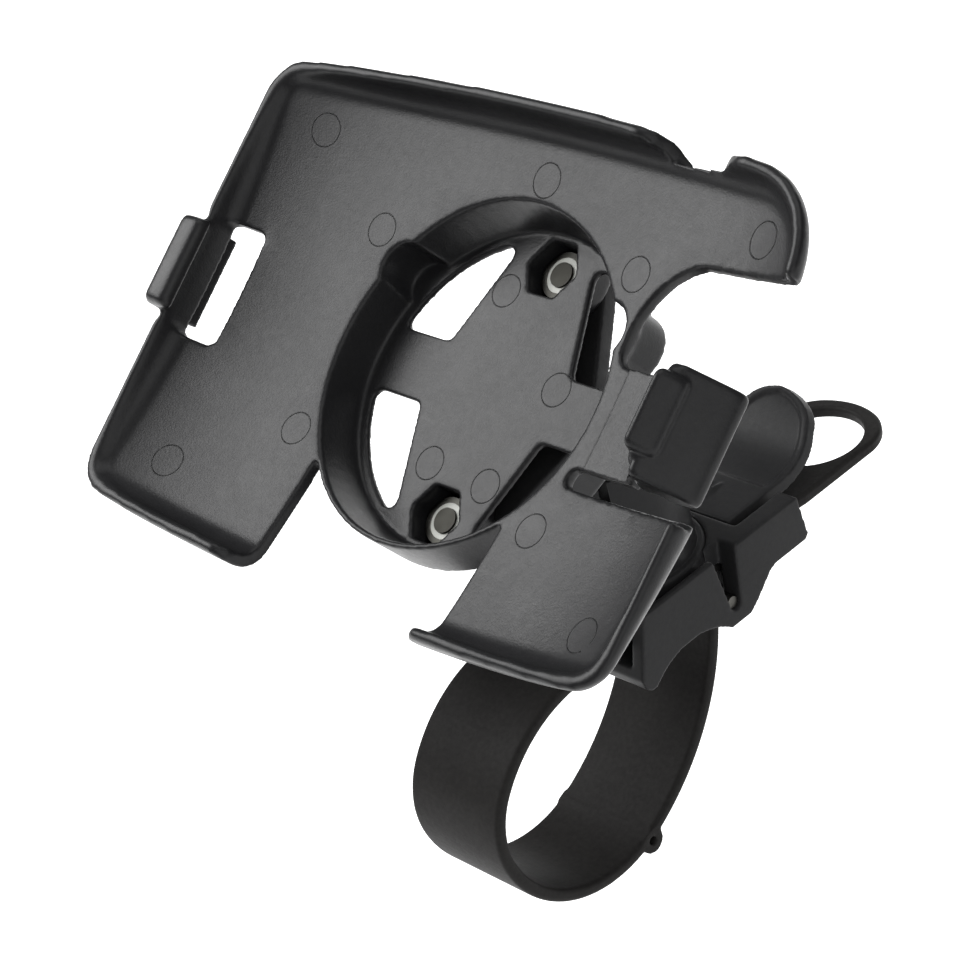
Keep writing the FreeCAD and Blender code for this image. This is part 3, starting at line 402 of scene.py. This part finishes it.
def moulding(name, dark, light, edge_tone, roughness, gloss, pits, depth, edge_radius,
             mottle=0.3):
    """A satin moulded plastic or rubber, with grain, cloudy tone, rounded and rubbed edges."""
    material, tree, shader = blank_finish(name)
    shader.inputs["Specular IOR Level"].default_value = gloss
    tone = use(tree, CLOUD, Dark=(*dark, 1), Light=(*light, 1), Mottle=mottle)
    edge = use(tree, EDGE, Radius=edge_radius)
    marks = use(tree, HANDLING, Amount=1.0)
    grain = use(tree, GRAIN, Pits_per_metre=pits)
    rubbed = sum_up(tree, "MULTIPLY", edge["Edge"], EDGE_RUB)
    colour = blend_colours(tree, rubbed, tone["Color"], (*edge_tone, 1))
    tree.links.new(colour, shader.inputs["Base Color"])
    sheen = sum_up(tree, "SUBTRACT", spread(tree, grain["Height"], *GRAIN_SPAN, *roughness),
                   sum_up(tree, "MULTIPLY", marks["Mark"], HANDLING_POLISH))
    polished = sum_up(tree, "SUBTRACT", sheen,
                      sum_up(tree, "MULTIPLY", edge["Edge"], EDGE_POLISH))
    tree.links.new(polished, shader.inputs["Roughness"])
    raise_relief(tree, shader, grain["Height"], edge["Normal"], depth)
    return material


def plated_steel(name, dark, light, roughness, edge_radius):
    """Plated or blackened steel: a mottled coat with fine pits, and brighter edges."""
    material, tree, shader = blank_finish(name)
    shader.inputs["Metallic"].default_value = 1.0
    tone = use(tree, CLOUD, Dark=(*dark, 1), Light=(*light, 1),
               Clouds_per_metre=PLATING_CLOUDS, Mottle=PLATING_MOTTLE)
    edge = use(tree, EDGE, Radius=edge_radius)
    grain = use(tree, GRAIN, Pits_per_metre=PLATING_PITS)
    tree.links.new(blend_colours(tree, edge["Edge"], tone["Color"], BARE_STEEL),
                   shader.inputs["Base Color"])
    tree.links.new(spread(tree, tone["Cloud"], *PLATING_SPAN, *roughness),
                   shader.inputs["Roughness"])
    raise_relief(tree, shader, grain["Height"], edge["Normal"], PLATING_DEPTH)
    return material


TRAY_FINISH = moulding(
    "tray_plastic_satin", dark=(0.012, 0.012, 0.013), light=(0.020, 0.020, 0.021),
    edge_tone=(0.045, 0.045, 0.045), roughness=(0.30, 0.40), gloss=0.22, pits=2600.0,
    depth=0.00005, edge_radius=0.0004)
BODY_FINISH = moulding(
    "body_plastic_satin", dark=(0.022, 0.022, 0.023), light=(0.034, 0.034, 0.035),
    edge_tone=(0.05, 0.05, 0.05), roughness=(0.32, 0.44), gloss=0.09, pits=3000.0,
    depth=0.00003, edge_radius=0.00035)
RUBBER_FINISH = moulding(
    "strap_rubber_matt", dark=(0.016, 0.015, 0.015), light=(0.026, 0.025, 0.024),
    edge_tone=(0.055, 0.053, 0.05), roughness=(0.5, 0.62), gloss=0.08, pits=4200.0,
    depth=0.00003, edge_radius=0.0003, mottle=0.5)
NYLON_FINISH = moulding(
    "locking_ring_nylon", dark=(0.5, 0.51, 0.47), light=(0.62, 0.63, 0.58),
    edge_tone=(0.66, 0.67, 0.62), roughness=(0.4, 0.5), gloss=0.5, pits=5000.0,
    depth=0.00002, edge_radius=0.0001)
STEEL_FINISH = plated_steel(
    "zinc_plated_steel", dark=(0.05, 0.049, 0.045), light=(0.12, 0.117, 0.108),
    roughness=(0.3, 0.45), edge_radius=0.00006)
BLACK_STEEL_FINISH = plated_steel(
    "blackened_steel", dark=(0.015, 0.015, 0.013), light=(0.035, 0.034, 0.03),
    roughness=(0.4, 0.55), edge_radius=0.00015)
# The nuts' coat is darker than the other plated steel; the darker coat is partly painted shade,
# for the nuts sitting down in their pockets.
NUT_FINISH = plated_steel(
    "nut_steel_with_painted_shade", dark=(0.018, 0.018, 0.016), light=(0.045, 0.044, 0.04),
    roughness=(0.3, 0.45), edge_radius=0.00012)

FINISH_OF_SLOT = {
    "tray_plastic": TRAY_FINISH,
    "body_plastic": BODY_FINISH,
    "rubber": RUBBER_FINISH,
    "steel": STEEL_FINISH,
    "nylon": NYLON_FINISH,
}
FINISH_OF_NODE = {
    "plate_screw_upper": BLACK_STEEL_FINISH,
    "plate_screw_lower": BLACK_STEEL_FINISH,
    "lock_nut_upper": NUT_FINISH,
    "lock_nut_lower": NUT_FINISH,
}


def finish_nodes():
    """Gives each CAD node the finish of its slot, or its own where it has one."""
    for part in frame["record"]["subparts"]:
        piece = frame["nodes"][part["node"]]
        piece.data.materials.clear()
        finish = FINISH_OF_NODE.get(part["node"], FINISH_OF_SLOT[part["material_slot"]])
        piece.data.materials.append(finish)


finish_nodes()

# ---------------------------------------------------------------- moulded pieces

WELD = 0.002 * MM
TRIANGLES_PER_FACE = 2
# The tray's rims and the hook's top, as spans of the height w, and how they are rounded.
TRAY_CRESTS = ((11.0, 13.0), (14.5, 99.0))
CREST_RISE = 1.4
CREST_LIFT = 0.7
CREST_PASSES = 45
RUB_FACTOR = 0.5
# The strap's cross tube: its centre, the way to the loop's inside, and the band's inner face
# there, by its distance from the centre, its bend and the length that the tube disturbs.
TUBE_CENTRE = Vector((0, -16.0, -23.2)) * MM
TUBE_INWARD = Vector((0, -0.3685, 0.9296))
TUBE_FACE = 2.33 * MM
TUBE_BEND = 28.0 * MM
TUBE_REACH = 2.6 * MM
TUBE_TOP = 2 * TUBE_FACE
BODY_OF_NODE = {node: body for body, nodes in frame["record"]["behaviour"]["bodies"].items()
                for node in nodes}
SLOT_OF_NODE = {part["node"]: part["material_slot"] for part in frame["record"]["subparts"]}


def welded(node):
    """A copy of a CAD node's surface in which faces that meet share their corners."""
    shape = bmesh.new()
    shape.from_mesh(frame["nodes"][node].data)
    bmesh.ops.remove_doubles(shape, verts=shape.verts, dist=WELD)
    return shape


def new_piece(name, mesh, body, slot):
    """A named piece that rides on a body and has the finish of its slot."""
    piece = bpy.data.objects.new(name, mesh)
    bpy.context.scene.collection.objects.link(piece)
    mesh.materials.clear()
    mesh.materials.append(FINISH_OF_SLOT[slot])
    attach(piece, body)
    return piece


def outcome(thing, name):
    """The mesh of an object with its modifiers carried out."""
    graph = bpy.context.evaluated_depsgraph_get()
    mesh = bpy.data.meshes.new_from_object(thing.evaluated_get(graph))
    mesh.name = name
    return mesh


def rub_down(thing, passes, group=""):
    """Rounds corners by so many passes, everywhere or in one vertex group."""
    rub = thing.modifiers.new("rub", "SMOOTH")
    rub.factor = RUB_FACTOR
    rub.iterations = passes
    rub.vertex_group = group


def raise_crests(thing, crests):
    """Groups the vertices of the rims and lifts them by what the rubbing takes off again."""
    skin = thing.data
    group = thing.vertex_groups.new(name="crests")
    for low, high in crests:
        ridge = []
        for corner in skin.vertices:
            height = (corner.co - TRAY_ORIGIN).dot(W) / MM
            if low < height < high:
                ridge.append(corner.index)
                lift = min(1.0, (height - low) / CREST_RISE)
                corner.co += W * (CREST_LIFT * lift * MM)
        group.add(ridge, 1.0, "REPLACE")


def level_inside(thing):
    """Presses the strap's inner face flush where its cross tube stands out on the inside."""
    along = U.cross(TUBE_INWARD)
    for corner in thing.data.vertices:
        away = corner.co - TUBE_CENTRE
        step, height = away.dot(along), away.dot(TUBE_INWARD)
        face = TUBE_FACE + step * step / (2 * TUBE_BEND)
        if abs(step) < TUBE_REACH and face < height < TUBE_TOP:
            corner.co -= TUBE_INWARD * (height - face)


def softened(name, shape, grid, passes, faces, crests=(), press=None):
    """The shape as one closed skin whose corners are rounded as a mould rounds them."""
    mesh = bpy.data.meshes.new(name)
    shape.to_mesh(mesh)
    shape.free()
    blank = bpy.data.objects.new(name, mesh)
    bpy.context.scene.collection.objects.link(blank)
    skin = blank.modifiers.new("skin", "REMESH")
    skin.mode = "VOXEL"
    skin.voxel_size = grid
    skin.use_smooth_shade = True
    blank.data = outcome(blank, name)
    blank.modifiers.clear()
    dense = len(blank.data.polygons)
    if press:
        press(blank)
    if crests:
        raise_crests(blank, crests)
        rub_down(blank, CREST_PASSES, "crests")
    rub_down(blank, passes)
    thin = blank.modifiers.new("thin", "DECIMATE")
    thin.ratio = min(1.0, faces / (TRIANGLES_PER_FACE * dense))
    result = outcome(blank, name)
    bpy.data.objects.remove(blank)
    return result


def mould(name, node, grid, passes, faces, shape=None, crests=(), press=None):
    """Stands a softened piece in a CAD node's place, on its body; the grid is in millimetres."""
    shape = shape or welded(node)
    mesh = softened(name, shape, grid * MM, passes, faces, crests, press)
    piece = new_piece(name, mesh, BODY_OF_NODE[node], SLOT_OF_NODE[node])
    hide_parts(node)
    return piece


# The height w from which the tray's surface is looked for.
LOOK_FROM = 25.0


def surface_below(tree, u, v):
    """Where a line down the tray's face meets the floor, in millimetres of height w."""
    place, _, _, _ = tree.ray_cast(on_tray(u, v, LOOK_FROM), -W)
    return None if place is None else (place - TRAY_ORIGIN).dot(W) / MM


# The latch's head, as outlines in the tray's u and w, each with its span in v.
HEAD_CUT = 49.0
HEAD_FORMS = (
    # outline, low v, high v, rounding of the ends
    (((48.6, 0.5), (48.6, 3.0), (51.6, 6.0), (54.0, 11.0), (56.2, 15.2), (58.2, 16.4),
      (61.4, 12.8), (62.5, 8.0), (61.0, 3.0), (57.6, 2.2)), -8.2, 9.7, 2.4),
    (((49.4, 0.6), (50.4, 4.2), (52.6, 8.2), (55.6, 10.4), (60.0, 9.0), (61.5, 4.0),
      (57.6, 2.2)), -9.7, 2.0, 2.6),
    (((57.0, 5.0), (56.6, 12.6), (58.2, 16.3), (61.8, 12.0), (65.9, 7.6), (66.4, 5.2),
      (65.2, 4.2), (62.5, 2.9), (58.0, 2.5)), -10.1, 9.7, 1.3),
    (((54.8, 12.0), (55.6, 15.8), (57.2, 18.9), (59.2, 17.0), (61.4, 14.4), (60.2, 12.2),
      (57.0, 10.0)), -6.3, 7.7, 1.7),
)
# The tongue's root, which is run on a little into the tray along the floor's slope.
ROOT_END = 37.9
ROOT_OVERLAP = 1.2
SLOPE_FROM = 39.0
SLOPE_TO = 41.0
END_STEPS = 5
NEAR_SHARE = 0.75
FAR_SHARE = 0.25


def cut_corners(outline):
    """One round of corner cutting on a closed outline."""
    cut = []
    for (u0, w0), (u1, w1) in zip(outline, outline[1:] + outline[:1]):
        for first, second in ((NEAR_SHARE, FAR_SHARE), (FAR_SHARE, NEAR_SHARE)):
            cut.append((u0 * first + u1 * second, w0 * first + w1 * second))
    return cut


def pillow(shape, outline, low, high, rounding):
    """Adds a bar along v with this outline and rounded ends to the shape."""
    outline = cut_corners(cut_corners(list(outline)))
    middle_u = sum(u for u, _ in outline) / len(outline)
    middle_w = sum(w for _, w in outline) / len(outline)
    reach = max(math.hypot(u - middle_u, w - middle_w) for u, w in outline)
    sections = []
    for step in range(END_STEPS + 1):
        angle = math.pi / 2 * step / END_STEPS
        inward = rounding * (1 - math.sin(angle))
        sections.append((low + rounding * (1 - math.cos(angle)), 1 - inward / reach))
    sections += [(low + high - v, scale) for v, scale in reversed(sections)]
    rings = [[shape.verts.new(on_tray(middle_u + (u - middle_u) * scale, v,
                                      middle_w + (w - middle_w) * scale)) for u, w in outline]
             for v, scale in sections]
    for ring, following in zip(rings, rings[1:]):
        for index in range(len(ring)):
            after = (index + 1) % len(ring)
            shape.faces.new((ring[index], ring[after], following[after], following[index]))
    shape.faces.new(list(reversed(rings[0])))
    shape.faces.new(rings[-1])


def latch_shape():
    """The CAD latch's tongue with the head's rounded forms in place of its plain ones."""
    shape = welded("latch_finger")
    tree = BVHTree.FromBMesh(shape)
    rise = surface_below(tree, SLOPE_TO, 0.0) - surface_below(tree, SLOPE_FROM, 0.0)
    slope = rise / (SLOPE_TO - SLOPE_FROM)
    for corner in shape.verts:
        if (corner.co - TRAY_ORIGIN).dot(U) < ROOT_END * MM:
            corner.co -= (U + W * slope) * ROOT_OVERLAP * MM
    whole = shape.verts[:] + shape.edges[:] + shape.faces[:]
    sliced = bmesh.ops.bisect_plane(shape, geom=whole, dist=WELD, clear_outer=True,
                                    plane_co=on_tray(HEAD_CUT, 0, 0), plane_no=U)
    rim = [part for part in sliced["geom_cut"] if isinstance(part, bmesh.types.BMEdge)]
    bmesh.ops.holes_fill(shape, edges=rim)
    for form in HEAD_FORMS:
        pillow(shape, *form)
    bmesh.ops.recalc_face_normals(shape, faces=shape.faces[:])
    return shape


TRAY_PIECE = mould("tray_moulding", "cradle_tray", grid=0.4, passes=12, faces=70000,
                   crests=TRAY_CRESTS)
mould("latch_moulding", "latch_finger", grid=0.28, passes=6, faces=16000, shape=latch_shape())
mould("saddle_moulding", "saddle", grid=0.3, passes=6, faces=20000)
mould("paddle_moulding", "release_paddle", grid=0.3, passes=5, faces=14000)
mould("plate_moulding", "ball_plate", grid=0.35, passes=4, faces=12000)
mould("strap_loop_moulding", "strap_loop", grid=0.3, passes=4, faces=26000, press=level_inside)

# ---------------------------------------------------------------- mould marks

# Each mark is a ring with this section; it doesn't follow a step in the floor above the limit.
MARK_RADIUS = 3.175
MARK_STEP_LIMIT = 1.0
MARK_RIDGE = ((-0.2, -0.05), (0.0, 0.1), (0.2, -0.05))
MARK_STEPS = 72
MARK_PLACES = (
    (-55.2, 34.5), (-34.3, 20.2), (0.6, 36.6), (28.9, 24.8), (56.4, 34.6), (-54.8, -34.3),
    (-32.2, -19.7), (32.2, -22.3), (57.6, -35.8), (13.9, 3.6), (-6.7, -16.0), (8.3, -16.5),
    (-8.0, 18.0),
)


def ring_mark(shape, tree, u, v):
    """A thin raised circle that the mould's ejector pin left, draped on the floor."""
    middle = surface_below(tree, u, v)
    rings = []
    for step in range(MARK_STEPS):
        angle = math.tau * step / MARK_STEPS
        along_u, along_v = math.cos(angle), math.sin(angle)
        height = surface_below(tree, u + along_u * MARK_RADIUS, v + along_v * MARK_RADIUS)
        if height is None or abs(height - middle) > MARK_STEP_LIMIT:
            height = middle
        rings.append([shape.verts.new(on_tray(u + along_u * (MARK_RADIUS + side),
                                              v + along_v * (MARK_RADIUS + side),
                                              height + rise)) for side, rise in MARK_RIDGE])
    for ring, following in zip(rings, rings[1:] + rings[:1]):
        for index in range(len(MARK_RIDGE)):
            after = (index + 1) % len(MARK_RIDGE)
            shape.faces.new((ring[index], ring[after], following[after], following[index]))


def make_marks():
    """All the ejector pins' circles, as one piece on the tray."""
    skin = TRAY_PIECE.data
    tree = BVHTree.FromPolygons([corner.co for corner in skin.vertices],
                                [face.vertices for face in skin.polygons])
    shape = bmesh.new()
    for u, v in MARK_PLACES:
        ring_mark(shape, tree, u, v)
    bmesh.ops.recalc_face_normals(shape, faces=shape.faces[:])
    mesh = bpy.data.meshes.new("ejector_marks")
    shape.to_mesh(mesh)
    shape.free()
    new_piece("ejector_marks", mesh, BODY_OF_NODE["cradle_tray"], "tray_plastic")


make_marks()

# ---------------------------------------------------------------- colour view

bpy.context.scene.view_settings.view_transform = "Standard"
